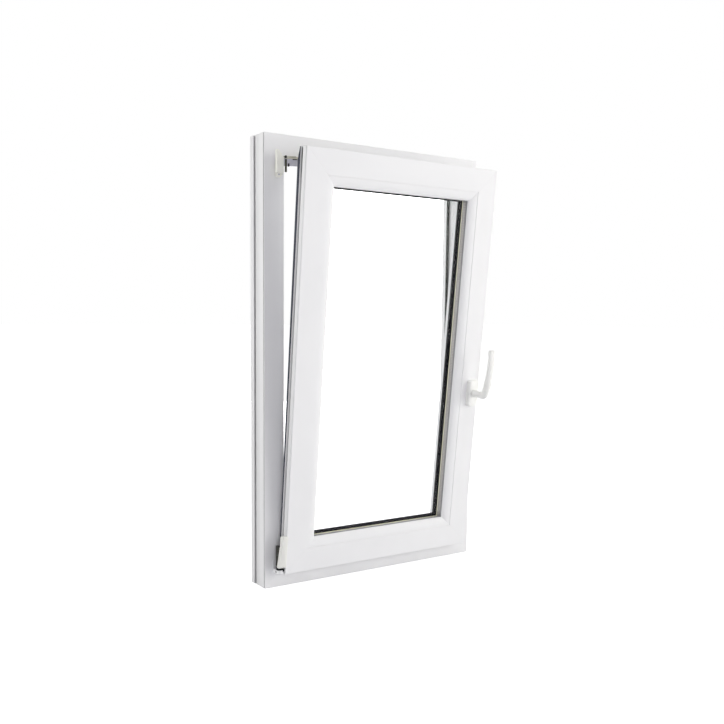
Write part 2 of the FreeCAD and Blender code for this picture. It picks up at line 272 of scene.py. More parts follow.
def square_to(axis):
    """Two unit directions that are square to an axis and to each other."""
    first = np.cross(axis, [0.31, 0.52, 0.79])
    first /= np.linalg.norm(first)
    return first, np.cross(axis, first)


def turned(profile, centre, axis, count=32):
    """A turned shape: (radius, lift) points carried round an axis, the lift measured along it."""
    radius, lift = np.asarray(profile, float).T
    angle = np.linspace(0, 2 * np.pi, count, endpoint=False)
    axis = np.asarray(axis, float)
    first, second = square_to(axis)
    spoke = np.cos(angle)[:, None] * first + np.sin(angle)[:, None] * second
    points = np.asarray(centre, float) + radius[:, None, None] * spoke + lift[:, None, None] * axis
    return Grid(points, False)


def screw(centre, axis, radius):
    """A countersunk screw head: a low dome, less a cross recess.

    The recess is where a point is near either of two lines through the middle. The sizes are shares
    of the head's radius.
    """
    dome_height, slot_half, slot_reach, slot_depth = 0.16, 0.17, 0.62, 0.28
    side_slope, end_slope = 0.06, 0.08
    ring = np.linspace(1, 0.02, 14)[:, None]
    angle = np.linspace(0, 2 * np.pi, 48, endpoint=False)
    a = ring * np.cos(angle)
    b = ring * np.sin(angle)
    narrow = np.minimum(np.abs(a), np.abs(b))
    long = np.maximum(np.abs(a), np.abs(b))
    recess = np.clip((slot_half - narrow) / side_slope, 0, 1)
    recess *= np.clip((slot_reach - long) / end_slope, 0, 1)
    lift = dome_height * (1 - ring ** 2) - slot_depth * recess
    axis = np.asarray(axis, float)
    first, second = square_to(axis)
    points = a[..., None] * first + b[..., None] * second + lift[..., None] * axis
    return Grid(np.asarray(centre, float) + radius * points, False)


def mesh_from(name, grids):
    """Join grids into one mesh: quads between neighbouring points, one face over each open end.

    The map's two directions are the distances round the outline and along the piece, in metres.
    A grid whose faces would point inwards, by the sign of its volume about its middle, is turned over.
    """
    points, faces, places, grime, start = [], [], [], [], 0
    for grid in grids:
        p = grid.points
        rows, columns = p.shape[:2]
        index = start + np.arange(rows * columns).reshape(rows, columns)
        start += rows * columns
        ring = np.concatenate([index, index[:, :1]], axis=1)
        round_it = np.concatenate([p, p[:, :1]], axis=1)
        if grid.closed:
            ring = np.concatenate([ring, ring[:1]])
            round_it = np.concatenate([round_it, round_it[:1]])
        across = np.linalg.norm(np.diff(round_it[0], axis=0), axis=-1)
        down = np.linalg.norm(np.diff(round_it[:, 0], axis=0), axis=-1)
        u = np.concatenate([[0], np.cumsum(across)])[None, :] + 0 * round_it[..., 0]
        v = np.concatenate([[0], np.cumsum(down)])[:, None] + 0 * u
        spot = np.stack([u, v], axis=-1) * MM
        corners = [(slice(None, -1), slice(None, -1)), (slice(None, -1), slice(1, None)),
                   (slice(1, None), slice(1, None)), (slice(1, None), slice(None, -1))]
        quads = np.stack([ring[c] for c in corners], axis=-1).reshape(-1, 4)
        spots = np.stack([spot[c] for c in corners], axis=-2).reshape(-1, 4, 2)
        corner = np.stack([round_it[c] for c in corners], axis=-2).reshape(-1, 4, 3)
        corner = corner - p.reshape(-1, 3).mean(axis=0)
        volume = np.sum(corner[:, 0] * np.cross(corner[:, 1], corner[:, 2]))
        volume += np.sum(corner[:, 0] * np.cross(corner[:, 2], corner[:, 3]))
        ends = [] if grid.closed else [index[0, ::-1], index[-1]]
        if volume < 0:
            quads, spots, ends = quads[:, ::-1], spots[:, ::-1], [e[::-1] for e in ends]
        points.append(p.reshape(-1, 3))
        grime.append(np.zeros(rows * columns) if grid.grime is None else grid.grime.ravel())
        faces += quads.tolist() + [e.tolist() for e in ends]
        places += [spots.reshape(-1, 2)] + [np.zeros((len(e), 2)) for e in ends]
    mesh = bpy.data.meshes.new(name)
    mesh.from_pydata((np.concatenate(points) * MM).tolist(), [], faces)
    layer = mesh.uv_layers.new(name="run")
    layer.data.foreach_set("uv", np.concatenate(places).ravel())
    # Painted shade per point, which the plastic's material darkens by.
    dirt = mesh.attributes.new("grime", "FLOAT", "POINT")
    dirt.data.foreach_set("value", np.concatenate(grime))
    return mesh


def put_in(name, data):
    """A new object in the scene."""
    thing = bpy.data.objects.new(name, data)
    bpy.context.scene.collection.objects.link(thing)
    return thing


def add_piece(name, grids, finish, stands_for=(), body="window"):
    """Put grids into the scene as one piece that rides on a body and stands for CAD nodes."""
    mesh = mesh_from(name, grids)
    mesh.shade_smooth()
    mesh.set_sharp_from_angle(angle=crisp_edge)
    mesh.materials.append(finish)
    piece = put_in(name, mesh)
    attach(piece, body)
    if stands_for:
        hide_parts(*stands_for)


def start_finish(name):
    """A new material: its node tree and its main shader."""
    material = bpy.data.materials.new(name)
    material.use_nodes = True
    tree = material.node_tree
    return material, tree, tree.nodes["Principled BSDF"]


def mapped(tree, stretch, on_map):
    """Places on the object, or on the piece's own map, with a scale on each direction."""
    coordinates = tree.nodes.new("ShaderNodeTexCoord")
    mapping = tree.nodes.new("ShaderNodeMapping")
    mapping.inputs["Scale"].default_value = stretch
    tree.links.new(coordinates.outputs["UV" if on_map else "Object"], mapping.inputs["Vector"])
    return mapping.outputs["Vector"]


def noise(tree, scale, stretch=(1, 1, 1), on_map=False, detail=3.0):
    """Cloudy noise over the object, or over the piece's own map."""
    cloud = tree.nodes.new("ShaderNodeTexNoise")
    cloud.inputs["Scale"].default_value = scale
    cloud.inputs["Detail"].default_value = detail
    tree.links.new(mapped(tree, stretch, on_map), cloud.inputs["Vector"])
    return cloud.outputs["Fac"]


def blend_colours(tree, factor, low, high, span=noise_middle):
    """A colour that runs from low to high as the factor crosses the span."""
    ramp = tree.nodes.new("ShaderNodeValToRGB")
    ramp.color_ramp.elements[0].position = span[0]
    ramp.color_ramp.elements[1].position = span[1]
    ramp.color_ramp.elements[0].color = (*low, 1)
    ramp.color_ramp.elements[1].color = (*high, 1)
    tree.links.new(factor, ramp.inputs["Fac"])
    return ramp.outputs["Color"]


def spread(tree, factor, low, high, span=noise_middle):
    """A number that runs from low to high as the factor crosses the span."""
    scale = tree.nodes.new("ShaderNodeMapRange")
    scale.inputs["From Min"].default_value = span[0]
    scale.inputs["From Max"].default_value = span[1]
    scale.inputs["To Min"].default_value = low
    scale.inputs["To Max"].default_value = high
    tree.links.new(factor, scale.inputs["Value"])
    return scale.outputs["Result"]


def combined(tree, operation, first, second):
    """One number from two, by an operation such as a product."""
    node = tree.nodes.new("ShaderNodeMath")
    node.operation = operation
    tree.links.new(first, node.inputs[0])
    tree.links.new(second, node.inputs[1])
    return node.outputs["Value"]


def bump(tree, shader, heights, distance):
    """Relief from a list of (height, strength), each on top of the one before."""
    last = None
    for height, strength in heights:
        relief = tree.nodes.new("ShaderNodeBump")
        relief.inputs["Strength"].default_value = strength
        relief.inputs["Distance"].default_value = distance
        tree.links.new(height, relief.inputs["Height"])
        if last is not None:
            tree.links.new(last, relief.inputs["Normal"])
        last = relief.outputs["Normal"]
    tree.links.new(last, shader.inputs["Normal"])


def make_upvc(name, low, high, shade_colour):
    """Extruded white plastic: a soft gloss, faint die lines along each bar, and painted shade, made patchy by
    a noise, as deep as the piece's grime attribute asks.
    """
    material, tree, shader = start_finish(name)
    cloud = noise(tree, 7.0)
    lines = noise(tree, 1.0, (900, 3.0, 1), on_map=True, detail=2.0)
    skin = noise(tree, 1400.0, detail=1.0)
    clean = blend_colours(tree, cloud, low, high)
    shade_attribute = tree.nodes.new("ShaderNodeAttribute")
    shade_attribute.attribute_name = "grime"
    uneven = spread(tree, noise(tree, 30.0, (1, 1, 0.25)), 0.85, 1.1)
    patchy = combined(tree, "MULTIPLY", shade_attribute.outputs["Fac"], uneven)
    shaded = tree.nodes.new("ShaderNodeMix")
    shaded.data_type = "RGBA"
    shaded.inputs["B"].default_value = (*shade_colour, 1)
    tree.links.new(patchy, shaded.inputs["Factor"])
    tree.links.new(clean, shaded.inputs["A"])
    tree.links.new(shaded.outputs["Result"], shader.inputs["Base Color"])
    tree.links.new(spread(tree, lines, 0.30, 0.40), shader.inputs["Roughness"])
    bump(tree, shader, [(lines, 0.05), (skin, 0.03)], 0.0004)
    shader.inputs["IOR"].default_value = 1.45
    return material


def make_moulded(name, low, high, gloss, grain):
    """Moulded or coated plastic: a fine even grain, with slightly uneven gloss."""
    material, tree, shader = start_finish(name)
    cloud = noise(tree, 40.0)
    skin = noise(tree, grain, detail=2.0)
    tree.links.new(blend_colours(tree, cloud, low, high), shader.inputs["Base Color"])
    tree.links.new(spread(tree, cloud, gloss - 0.04, gloss + 0.05), shader.inputs["Roughness"])
    bump(tree, shader, [(skin, 0.10)], 0.0003)
    return material


def make_rubber(name, low, high):
    """Sealing rubber: matt, with a dusty bloom in patches and a fine skin."""
    material, tree, shader = start_finish(name)
    bloom = noise(tree, 60.0, detail=4.0)
    skin = noise(tree, 1.0, (2500, 60, 1), on_map=True)
    tree.links.new(blend_colours(tree, bloom, low, high), shader.inputs["Base Color"])
    tree.links.new(spread(tree, bloom, 0.55, 0.72), shader.inputs["Roughness"])
    bump(tree, shader, [(skin, 0.06)], 0.0003)
    shader.inputs["Specular IOR Level"].default_value = 0.12
    return material


def make_zinc(name, cool, warm, shine):
    """Zinc-plated steel: cool grey with straw-coloured patches, and rolling lines."""
    material, tree, shader = start_finish(name)
    patches = noise(tree, 55.0, detail=4.0)
    lines = noise(tree, 900.0, (1, 1, 0.02))
    tree.links.new(blend_colours(tree, patches, cool, warm, (0.42, 0.66)), shader.inputs["Base Color"])
    tree.links.new(spread(tree, lines, 0.38, 0.52), shader.inputs["Roughness"])
    bump(tree, shader, [(lines, 0.08)], 0.0002)
    shader.inputs["Metallic"].default_value = shine
    return material


def make_spacer_metal(name, bar, hole):
    """Aluminium spacer: a regular field of small dark holes on the piece's own map."""
    holes_per_metre = (330, 260, 1)
    material, tree, shader = start_finish(name)
    cells = tree.nodes.new("ShaderNodeTexVoronoi")
    cells.inputs["Scale"].default_value = 1.0
    cells.inputs["Randomness"].default_value = 0.0
    tree.links.new(mapped(tree, holes_per_metre, True), cells.inputs["Vector"])
    dots = cells.outputs["Distance"]
    tree.links.new(blend_colours(tree, dots, hole, bar, (0.22, 0.32)), shader.inputs["Base Color"])
    tree.links.new(spread(tree, noise(tree, 300.0), 0.35, 0.5), shader.inputs["Roughness"])
    bump(tree, shader, [(dots, 0.3)], 0.0005)
    shader.inputs["Metallic"].default_value = 0.35
    return material


def make_glass(name):
    """Clear float glass that lets the lamps through, with the faintest unevenness in its gloss."""
    material, tree, shader = start_finish(name)
    shader.inputs["Base Color"].default_value = (0.996, 0.998, 0.998, 1)
    shader.inputs["Transmission Weight"].default_value = 1.0
    shader.inputs["IOR"].default_value = 1.12
    tree.links.new(spread(tree, noise(tree, 6.0), 0.0, 0.012), shader.inputs["Roughness"])
    clear = tree.nodes.new("ShaderNodeBsdfTransparent")
    clear.inputs["Color"].default_value = (0.97, 0.98, 0.975, 1)
    rays = tree.nodes.new("ShaderNodeLightPath")
    mix = tree.nodes.new("ShaderNodeMixShader")
    tree.links.new(rays.outputs["Is Shadow Ray"], mix.inputs["Fac"])
    tree.links.new(shader.outputs["BSDF"], mix.inputs[1])
    tree.links.new(clear.outputs["BSDF"], mix.inputs[2])
    tree.links.new(mix.outputs["Shader"], tree.nodes["Material Output"].inputs["Surface"])
    return material


# The third colour of white_upvc is the painted shade of its grooves.
white_upvc = make_upvc("white_upvc", (0.835, 0.836, 0.84), (0.86, 0.86, 0.862), (0.06, 0.058, 0.047))
ivory_plastic = make_moulded("ivory_plastic", (0.78, 0.78, 0.735), (0.81, 0.81, 0.77), 0.42, 1600.0)
ivory_coat = make_moulded("ivory_coat", (0.865, 0.865, 0.835), (0.89, 0.89, 0.865), 0.36, 900.0)
ivory_cap = make_moulded("ivory_cap", (0.87, 0.868, 0.785), (0.89, 0.888, 0.815), 0.40, 1200.0)
white_plastic = make_moulded("white_plastic", (0.80, 0.80, 0.81), (0.84, 0.84, 0.85), 0.40, 1600.0)
black_rubber = make_rubber("black_rubber", (0.006, 0.006, 0.008), (0.016, 0.016, 0.019))
slate_rubber = make_rubber("slate_rubber", (0.024, 0.026, 0.024), (0.042, 0.044, 0.040))
navy_rubber = make_rubber("navy_rubber", (0.052, 0.056, 0.075), (0.085, 0.090, 0.112))
grey_rubber = make_rubber("grey_rubber", (0.24, 0.24, 0.25), (0.32, 0.32, 0.33))
zinc_steel = make_zinc("zinc_steel", (0.52, 0.53, 0.555), (0.575, 0.57, 0.53), 0.9)
lilac_zinc = make_zinc("lilac_zinc", (0.50, 0.50, 0.58), (0.58, 0.57, 0.61), 0.3)
straw_zinc = make_zinc("straw_zinc", (0.52, 0.505, 0.44), (0.60, 0.57, 0.45), 0.85)
# Near-black olive steel; its darkness is partly painted shade, for the gaps round the stay's bearing and the
# corner hinge where it sits.
olive_zinc_and_shade = make_zinc("olive_zinc_and_shade", (0.035, 0.036, 0.03), (0.075, 0.075, 0.055), 0.6)
# Near-black steel: the arm's knob, and strips of painted shadow in the arm's gaps.
dark_zinc_and_gap_shadow = make_zinc("dark_zinc_and_gap_shadow", (0.010, 0.010, 0.011), (0.026, 0.025, 0.022), 0.2)
spacer_metal = make_spacer_metal("spacer_metal", (0.37, 0.355, 0.345), (0.09, 0.09, 0.08))
# A pale straw colour that is painted highlight for the bright line along the spacer's outer edge.
spacer_edge_highlight = make_moulded("spacer_edge_highlight", (0.82, 0.79, 0.56), (0.87, 0.84, 0.62), 0.5, 900.0)
clear_glass = make_glass("clear_glass")


def make_frame():
    """Sill, head and jambs, with a groove round their outer side, and the rubber seal on the stop. Painted
    shade darkens the groove and the fine line near the front, the outer side towards the groove, and a little
    the strip behind the groove.
    """
    groove_front, groove_back, groove_floor = 41.0, 49.0, 10.0
    line_front, line_back = 1.9, 5.3
    # Amounts of painted shade: on the outer side near the groove, behind the groove, in the groove and in the
    # fine line near the front.
    side_shade, back_shade, groove_shade, line_shade = 0.24, 0.08, 0.65, 0.69
    corners = [
        (0, 0), (frame_face, 0), (frame_face, 29.5), (frame_face - 1.2, 29.5), (frame_face - 1.2, 36),
        (frame_face, 36), (frame_face, rebate_depth), (stop_edge, rebate_depth), (50, frame_depth),
        (0, frame_depth), (0, groove_back), (groove_floor, groove_back), (groove_floor, groove_front),
        (0.4, groove_front), (0.4, 23), (0, 22), (0, 5.4), (2.4, 5.0), (2.4, 2.2), (0, 1.8)]
    radii = [0.7, 2.0, 0.3, 0.3, 0.3, 0.3, 0.8, 0.8, 1.5, 1.2,
             0.6, 0.8, 0.8, 0.6, 0.3, 0.3, 0.3, 0.3, 0.3, 0.4]
    outline = soften(corners, radii)
    inset, depth = outline.T
    outer_side = (inset < 3) & (depth > line_front)
    near_groove = np.clip((depth - 16) / 25, 0, 1) * (depth < groove_front + 1)
    in_groove = (inset > 0.9) & (inset < groove_floor + 1)
    in_groove &= (depth > groove_front - 0.5) & (depth < groove_back + 0.5)
    in_line = outer_side & (inset > 0.6) & (depth < line_back)
    grime = np.where(outer_side, side_shade * near_groove + back_shade * (depth > groove_back - 1), 0.0)
    grime = np.where(in_groove, groove_shade, grime)
    grime = np.where(in_line, line_shade, grime)
    nodes = {
        "bottom": "frame_sill", "top": "frame_head", "left": "frame_left_jamb", "right": "frame_right_jamb"}
    for side, node in nodes.items():
        bar = bar_on(side, outline, frame_room, grime=grime)
        add_piece(node[6:] + "_profile", [bar], white_upvc, [node])
    seal = soften(
        [(50, 45), (50, 43.8), (51.0, 42.9), (50.5, 40.0), (51.8, 38.4), (53.4, 40.2), (54.9, 43.0),
         (55.2, 45)],
        [0.2, 0.3, 0.3, 0.6, 0.6, 0.8, 0.5, 0.2])
    add_piece("stop_seal", [loop_on(seal, frame_room)], slate_rubber, ["frame_gasket"])


def make_sash():
    """Stiles and rails of the sash, with a groove round the flange and the rubber seal behind it. Painted
    shade darkens the flange's groove and the fine line near the front, more deeply near each bar's ends.
    """
    gear_back = rail_front + rail_width
    gear_floor = sash_setback + rail_depth
    # Amounts of painted shade in the flange's groove and in the fine line near the front.
    groove_shade, line_shade = 0.41, 0.24
    corners = [
        (0, 0), (sash_face, 0), (sash_face, leg_front), (leg_edge, leg_front), (leg_edge + 0.4, 50),
        (leg_edge - 4, 52), (64, sash_depth),
        (sash_setback + 4, sash_depth), (sash_setback, sash_depth - 4), (sash_setback, gear_back),
        (gear_floor, gear_back), (gear_floor, rail_front), (sash_setback, rail_front),
        (sash_setback, flange_depth), (0, flange_depth), (0, 24.4), (5, 24.0), (5, 17.4), (0, 16.6),
        (0, 4.4), (0.9, 3.8), (0.9, 2.8), (0, 2.2)]
    radii = [1.2, 0.5, 0.8, 0.6, 0.8, 0.8, 2.0, 1.2, 1.2, 0.3, 0.3, 0.3, 0.3, 0.8, 0.5, 0.4, 0.6, 0.6, 0.9,
             0.3, 0.3, 0.3, 0.3]
    outline = soften(corners, radii)
    inset, depth = outline.T
    in_groove = (inset > 0.6) & (inset < 6) & (depth > 16.4) & (depth < 24.6)
    in_line = (inset > 0.3) & (inset < 1) & (depth > 2.3) & (depth < 4.3)
    grime = np.where(in_groove, groove_shade, 0.0)
    grime = np.where(in_line, line_shade, grime)
    nodes = {
        "bottom": "sash_bottom_rail", "top": "sash_top_rail",
        "left": "sash_left_stile", "right": "sash_right_stile"}
    for side, node in nodes.items():
        # at_ends makes the painted shade deeper near each bar's ends.
        bar = lean_grid(bar_on(side, outline, sash_room, grime=grime, at_ends=2.45))
        add_piece(node[5:] + "_profile", [bar], white_upvc, [node])
    seal = soften(
        [(1, 26), (1, 27.6), (2.0, 29), (0.2, 36.6), (1.0, 38.2), (4.4, 35.2), (6, 30), (7, 27.8), (7, 26)],
        [0.2, 0.4, 0.5, 0.6, 0.6, 0.8, 0.8, 0.4, 0.2])
    loop = lean_grid(bent_loop(seal, sash_room, foot=flange_depth, low=0.3, reach=26.0))
    loop.points[..., 1] = np.minimum(loop.points[..., 1], frame_room.front - 0.1)
    add_piece("flange_seal", [loop], navy_rubber, ["sash_gasket"])


def make_glazing():
    """Beads, seals, spacer and the two panes.

    A bead's face is a quarter of an ellipse, from the sash's face down to the glass.
    """
    brow_front, brow_drop = 0.8, 9.6
    turn = np.linspace(0.02, 0.5 * np.pi, 22)
    brow = np.stack([
        sash_face + (bead_top - sash_face) * np.sin(turn),
        brow_front + brow_drop * (1 - np.cos(turn))], axis=1)
    behind = [(bead_top - 0.3, bead_depth), (sash_face, bead_depth)]
    outline = np.concatenate([[(sash_face, 1.3)], brow, behind])
    for side in ("bottom", "top", "left", "right"):
        bar = lean_grid(bar_on(side, outline, sash_room, seam=0.4))
        add_piece(side + "_bead", [bar], white_upvc, ["bead_" + side])

    def round_glass(name, corners, radii, finish, slot, *stands_for):
        """A seal or spacer that runs round the glass."""
        loop = loop_on(soften(corners, radii), sash_room)
        add_piece(name, [lean_grid(loop)], finish, stands_for)

    round_glass(
        "inner_glass_seal", [(71, 11), (75.4, 11), (76.9, 13.2), (76.6, 15), (71, 15)],
        [0.3, 0.5, 0.5, 0.3, 0.3], grey_rubber, "grey_rubber", "bead_gasket")
    round_glass(
        "outer_glass_seal",
        [(66, 39), (78.2, 39), (78.6, 40.4), (77.4, 46.2), (75.2, 46.2), (75.0, 45), (66, 45)],
        [0.3, 0.4, 0.6, 0.5, 0.4, 0.3, 0.3], black_rubber, "black_rubber", "outer_glazing_gasket")
    round_glass(
        "spacer_frame", [(65, 19), (70.8, 19), (72, 20.2), (72, 32.4), (65, 32.4)],
        [0.3, 0.4, 0.4, 0.4, 0.3], spacer_metal, "spacer_aluminium", "spacer_bar")
    # Painted highlight: a thin pale straw strip along the spacer's outer edge.
    round_glass(
        "spacer_edge", [(65, 32.6), (72, 32.6), (72.4, 33.6), (71.4, 35), (65, 35)],
        [0.3, 0.3, 0.5, 0.3, 0.3], spacer_edge_highlight, "spacer_aluminium")
    across = (sash_room.left + pane_inset, sash_right - pane_inset)
    upward = (sash_room.bottom + pane_inset, sash_top - pane_inset)
    pane = rounded(across, upward, 1.5)
    for place, depth in (("inner", glass_front), ("outer", outer_pane_front)):
        front = sash_room.front + depth
        sheet = plate(pane, eased(front, front + pane_thickness, 0.5), facing_room)
        add_piece(place + "_glass", [lean_grid(sheet)], clear_glass, [place + "_pane"])


def rail_parts(start, end, gaps):
    """A gear rail as (across, along) outlines: a base strip, and sliding bars with gaps between them."""
    half_base, half_bar, half_gap, end_step = rail_width / 2, 4.6, 11.0, 4.0
    base = rounded((-half_base, half_base), (start, end), 1.5)
    edges = [edge for gap in gaps for edge in (gap - half_gap, gap + half_gap)]
    stops = [start + end_step, *edges, end - end_step]
    bars = [rounded((-half_bar, half_bar), span, 3.0) for span in zip(stops[::2], stops[1::2])]
    return base, bars


def make_gear():
    """Steel rails in the sash's groove, with cams and screws, and the keeps on the right jamb."""
    screw_radius = 3.6
    middle = sash_room.front + rail_front + rail_width / 2
    left = sash_room.left + sash_setback
    right = sash_right - sash_setback
    bottom = sash_room.bottom + sash_setback
    top = sash_top - sash_setback
    low, high = bottom + rail_end_gap, top - rail_end_gap
    keep_heights = (bottom + cam_from_end, top - cam_from_end)
    base_layers = np.array([(0.0, -rail_depth), (0.0, -1.5), (0.3, -1.2)])
    bar_layers = np.array([(0.0, -1.4), (0.0, -0.3), (0.3, 0.0)])

    def rail(start, end, gaps, place, axis):
        """Place a rail's strips, bars and screws by a function from (across, along, lift)."""
        base, bars = rail_parts(start, end, gaps)
        grids = [plate(base, base_layers, lying)] + [plate(bar, bar_layers, lying) for bar in bars]
        grids = [Grid(place(*np.moveaxis(g.points, -1, 0)), False) for g in grids]
        spots = [place(np.array(0.0), np.array(gap), np.array(-1.1)) for gap in gaps]
        heads = [screw(spot, axis, screw_radius) for spot in spots]
        return [lean_grid(g) for g in grids + heads]

    along_stile = low + (high - low) * np.array([0.04, 0.22, 0.40, 0.60, 0.78, 0.96])
    hinge = rail(
        low, high, along_stile,
        lambda a, s, h: np.stack([left - h, middle + a, s], axis=-1), (-1, 0, 0))
    add_piece("hinge_side_rail", hinge, zinc_steel, ["hinge_rail"])

    lock = rail(
        low, high, along_stile,
        lambda a, s, h: np.stack([right + h, middle + a, s], axis=-1), (1, 0, 0))
    cam = [(2.2, -0.5), (2.2, 1.2), (4.3, 1.3), (4.5, 1.6), (4.5, 4.4), (4.1, 5.0), (2.0, 5.0), (1.8, 3.6),
           (0.1, 3.6)]
    lock += [lean_grid(turned(cam, (right, middle, height), (1, 0, 0))) for height in keep_heights]
    add_piece("lock_side_rail", lock, zinc_steel, ["lock_rail"])

    start, end = left + rail_end_gap, right - rail_end_gap
    along_head = start + (end - start) * np.array([0.06, 0.5, 0.94])
    head = rail(
        start, end, along_head,
        lambda a, s, h: np.stack([s, middle + a, top + h], axis=-1), (0, 0, 1))
    add_piece("head_rail", head, zinc_steel, ["top_rail_gear"])

    half_keep, keep_depth, keep_screws = 30.0, 24.0, 20.0
    seat = frame_room.left + frame_room.width - frame_face
    front = frame_room.front + 3.0
    for name, height in zip(("lower_keep", "upper_keep"), keep_heights):
        foot, crown = height - half_keep, height + half_keep
        base = rounded((front, front + keep_depth), (foot, crown), [1.0, 4.0, 4.0, 1.0])
        base = plate(base, [(0, seat), (0, seat - 1.6), (0.4, seat - 2.0)], facing_side)
        lip = soften(
            [(seat - 6.5, foot + 4), (seat - 1.0, foot), (seat - 1.0, crown), (seat - 6.5, crown - 4)],
            [1.2, 0.5, 0.5, 1.2])
        lip = plate(lip, eased(front, front + 5.0, 0.4), facing_room)
        spots = [(seat - 1.9, front + 15, height + up) for up in (-keep_screws, keep_screws)]
        heads = [screw(spot, (-1, 0, 0), screw_radius) for spot in spots]
        add_piece(name + "_plate", [base, lip] + heads, zinc_steel, [name])


def swing(points):
    """Turn the stay's closed shape about its upright pin.

    The angle is the one that keeps the arm's far end over the leaning sash's groove.
    """
    closed = frame_room.front + stay_depth - hinge_y
    groove_top = sash_top - sash_setback - pivot_height
    middle = sash_room.front + rail_front + rail_width / 2 - hinge_y
    target = middle * math.cos(lean_angle) - groove_top * math.sin(lean_angle)
    arm = math.hypot(stay_length, closed)
    turn = math.asin(closed / arm) - math.asin(target / arm)
    x, y = points[..., 0] - hinge_x, points[..., 1] - hinge_y
    across = hinge_x + x * math.cos(turn) + y * math.sin(turn)
    deep = hinge_y - x * math.sin(turn) + y * math.cos(turn)
    return np.stack([across, deep, points[..., 2]], axis=-1)


def make_stay():
    """Bearing, cover and arm of the stay at the head."""
    right = sash_room.left - 0.3
    left = right - 17.7
    wall = frame_room.front
    front = wall - 24.0
    shell_back = wall - 16.2
    low, high = 905.0, 964.0
    lift = 4.0
    bar_low = sash_top - sash_setback + 2.0 + lift
    bar_high = bar_low + 4.0
    knuckle_height = 18.0
    knuckle_low = bar_high - knuckle_height
    set_back, blend_depth = 3.0, 4.0

    def slope_back(grid):
        """Set the cover's front back towards its left edge, and leave its back where it is."""
        share = (right - grid.points[..., 0]) / (right - left)
        raised = np.clip((shell_back - grid.points[..., 1]) / blend_depth, 0, 1)
        return Grid(grid.points + np.stack([0 * share, set_back * share * raised, 0 * share], axis=-1), False)

    # The lug's near-black steel also stands for the shade in the gap behind the cover.
    lug = slab((right - 7.5, right - 0.6), (hinge_y + 4, wall), (low + 5, knuckle_low - 0.4))
    pin = [(2.4, low + 9.6), (3.0, low + 10.2), (3.0, high - 13), (2.4, high - 12.4)]
    pin = turned(pin, (hinge_x, hinge_y, 0), (0, 0, 1))
    add_piece("stay_bearing_core", [lug, pin], olive_zinc_and_shade, ["stay_bearing"])
    cover = soften(
        [(left, low + 9), (right, low + 9), (right, high - 17), (left + 6, high), (left, high)],
        [2.4, 2.4, 3.0, 3.0, 3.0])
    cover = plate(
        cover,
        [(0.4, front + 4.2), (0, front + 3.8), (0.1, front + 2.2), (0.5, front + 1.0), (1.1, front + 0.3),
         (1.9, front)], facing_room)
    shell = soften(
        [(left, low), (right - 6, low), (right - 6, low + 8), (right - 0.5, low + 8),
         (right - 0.5, high - 19), (left + 6, high - 0.5), (left, high - 0.5)],
        [2.5, 2.5, 1.4, 1.4, 2.0, 2.5, 2.5])
    shell = plate(
        shell,
        [(0.8, shell_back + 0.6), (0, shell_back), (0, front + 5.2), (0.4, front + 4.5), (1.0, front + 4.2)],
        facing_room)
    stem = rounded((right - 8.8, right - 0.3), (low + 4, knuckle_low - 1), 1.5)
    stem = plate(stem, [(0, wall), (0, wall - 16)], facing_room)
    cover_parts = [slope_back(cover), slope_back(shell), stem]
    add_piece("stay_cover", cover_parts, ivory_cap, ["stay_bearing_cap"])
    spot = screw((left + 7.6, front + 4.0, low + 6.4), (0, -1, 0), 1.8)
    add_piece("stay_cover_screw", [slope_back(spot)], lilac_zinc)

    def add_swung(name, grids, finish, *stands_for):
        """A piece of the arm, drawn closed and swung open."""
        add_piece(name, [Grid(swing(g.points), False) for g in grids], finish, stands_for)

    near, far = wall - 4.5, wall - 1.5
    start = frame_room.left + frame_face + 2.0
    end = hinge_x + stay_length
    bar_middle = wall + stay_depth
    rivet = [(4.6, -0.2), (4.6, 0.7), (3.9, 1.2), (1.2, 1.4), (0.1, 1.4)]
    stud = [(4.0, -3.0 - lift), (4.0, 0.5), (0.1, 0.5)]
    straw = [
        slab((hinge_x - 1.5, start + 14), (near, far), (bar_low - 2, bar_high)),
        slab((start, start + 14), (near, wall + 6), (bar_low, bar_high)),
        slab((start, end + 5), (wall + 3, wall + 17), (bar_low, bar_high), radius=4.0)]
    straw += [turned(rivet, (x, bar_middle, bar_high), (0, 0, 1)) for x in (start + 7, end - 90, end)]
    straw.append(turned(stud, (end, bar_middle, bar_low), (0, 0, 1)))
    add_swung("stay_arm_bar", straw, straw_zinc, "stay_arm")
    web = [
        slab((hinge_x - 1.5, start + 18), (near + 0.4, far), (knuckle_low - 3, bar_low - 1.8)),
        slab((hinge_x - 1.5, hinge_x + 1.5), (hinge_y + 2, far), (knuckle_low, bar_high))]
    add_swung("stay_arm_web", web, lilac_zinc)
    knuckle = [(2.9, 0), (3.5, 0.6), (3.5, knuckle_height - 0.6), (2.9, knuckle_height)]
    # The leaf's near-black steel also stands for the shade beside the knuckle.
    olive = [
        slab((start - 10.8, start - 6.4), (near - 2.0, far + 0.2), (knuckle_low - 16, bar_low - 3)),
        turned(knuckle, (hinge_x, hinge_y, knuckle_low), (0, 0, 1))]
    add_swung("stay_arm_leaf", olive, olive_zinc_and_shade)
    knob = [(3.0, -0.6), (3.0, 1.2), (2.2, 1.8), (0.1, 1.8)]
    # Painted shadow: the two dark strips fill the gap under the bar and the one by the knuckle; the knob is
    # the arm's own dark knob.
    dark = [
        slab((start + 6, start + 16.3), (near - 0.5, far), (bar_low - 3.8, bar_low - 1.8)),
        slab((start - 4.4, start - 0.8), (near - 1.4, far), (knuckle_low - 4, knuckle_low + 2.4)),
        turned(knob, (start - 9.2, near - 1.5, bar_high - 2.0), (0, -1, 0), count=20)]
    add_swung("stay_arm_knob_and_gap_shadow", dark, dark_zinc_and_gap_shadow)


